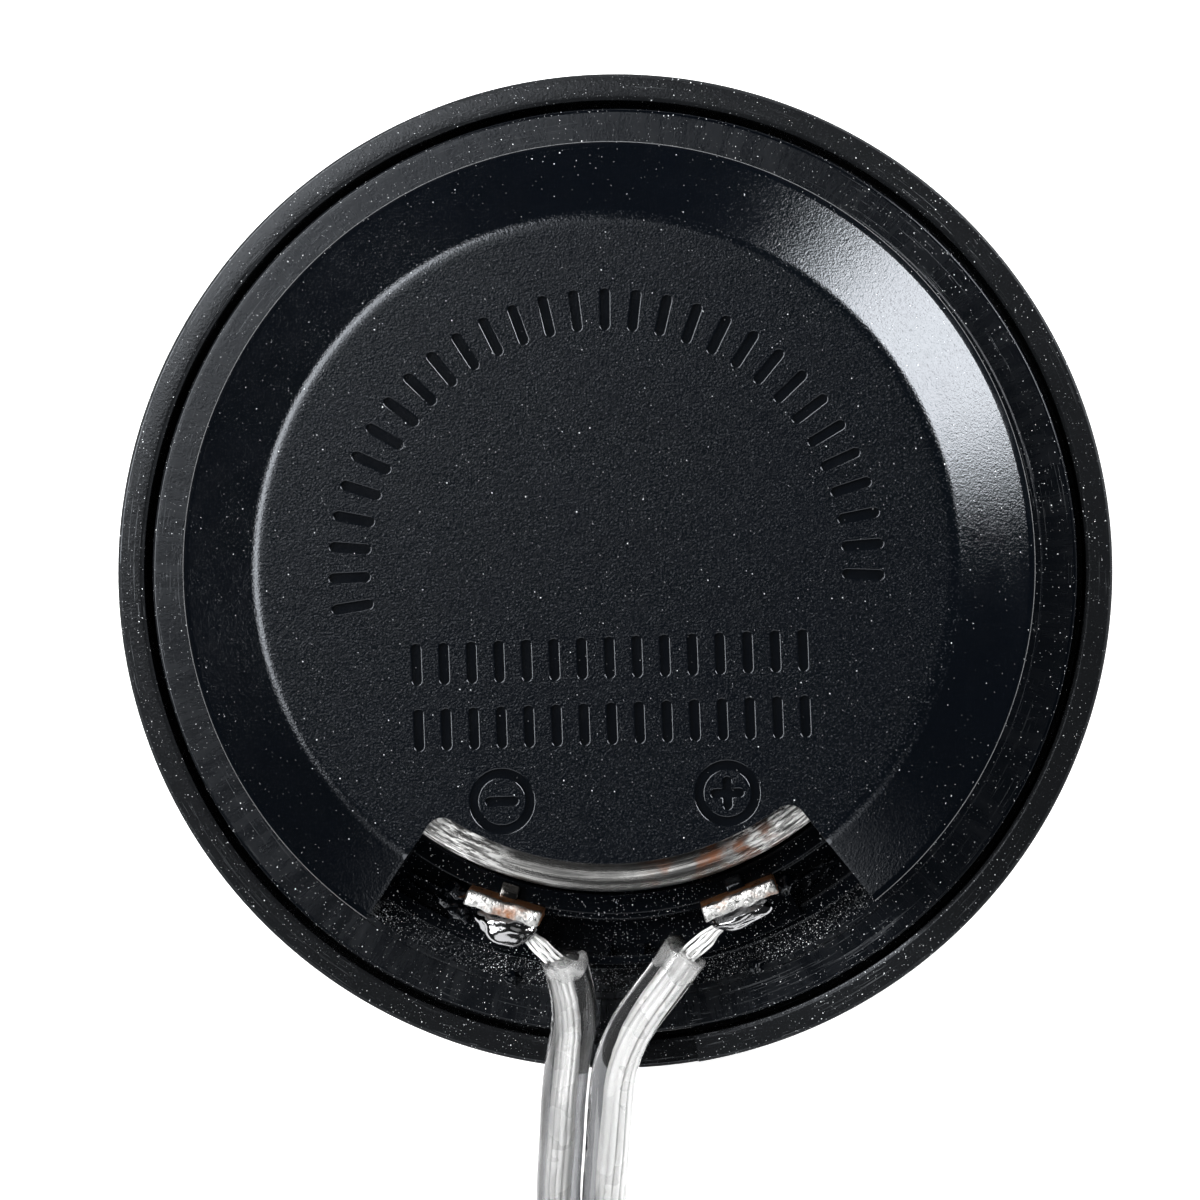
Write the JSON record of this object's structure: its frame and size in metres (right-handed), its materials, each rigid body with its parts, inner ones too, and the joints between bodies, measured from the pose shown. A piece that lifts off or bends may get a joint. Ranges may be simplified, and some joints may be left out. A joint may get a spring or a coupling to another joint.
{
  "type": "car tweeter",
  "caption": "Round black dome tweeter with a bevelled back cover, a cable notch with two solder tabs, a steel motor cup, a perforated front grille and a clear twin lead.",
  "frame": {"origin": "on the resting plane, at the centre of the trim ring's front lip; the tweeter lies face down", "axes": "+Z out of the back along the dome's axis, -Y through the middle of the cable notch, +X towards the positive tab"},
  "size_m": [0.0553, 0.0989, 0.015],
  "materials": {
    "moulded_black": "fine spark-eroded grain, satin",
    "grille_steel": "satin powder coat",
    "dome_cloth": "fine woven silk with a tacky coating",
    "former_foil": "bright foil",
    "copper_wire": "lacquered",
    "felt": "felt",
    "motor_steel": "worn plating with light rust",
    "plated_magnet": "nickel plated",
    "tab_brass": "tinned edge over copper-coloured strip",
    "solder": "lumpy bright solder",
    "tinned_strands": "bright tinned copper strands",
    "clear_insulation": "clear glossy vinyl",
    "tie_plastic": "plain black"
  },
  "bodies": {
    "chassis": {"trim_ring": "moulded_black", "grille": "grille_steel", "clamp_ring": "moulded_black", "driver_frame": "moulded_black", "surround": "dome_cloth", "damping_felt": "felt", "pole_plate": "motor_steel", "magnet": "plated_magnet", "magnet_cup": "motor_steel", "back_cover": "moulded_black", "negative_tab": "tab_brass", "positive_tab": "tab_brass", "negative_solder": "solder", "positive_solder": "solder", "negative_lead_out": "copper_wire", "positive_lead_out": "copper_wire", "negative_strands": "tinned_strands", "positive_strands": "tinned_strands", "negative_lead": "clear_insulation", "positive_lead": "clear_insulation", "lead_coil": "clear_insulation", "coil_tie": "tie_plastic"},
    "diaphragm": {"dome": "dome_cloth", "voice_coil_former": "former_foil", "voice_coil_winding": "copper_wire"}
  },
  "joints": [
    {"name": "dome_travel", "type": "slide", "parent": "chassis", "child": "diaphragm", "axis": [0, 0, 1], "range_m": [-0.0004, 0.0004], "stiffness_N_per_m": 5000, "deforming": ["surround", "negative_lead_out", "positive_lead_out"]}
  ]
}
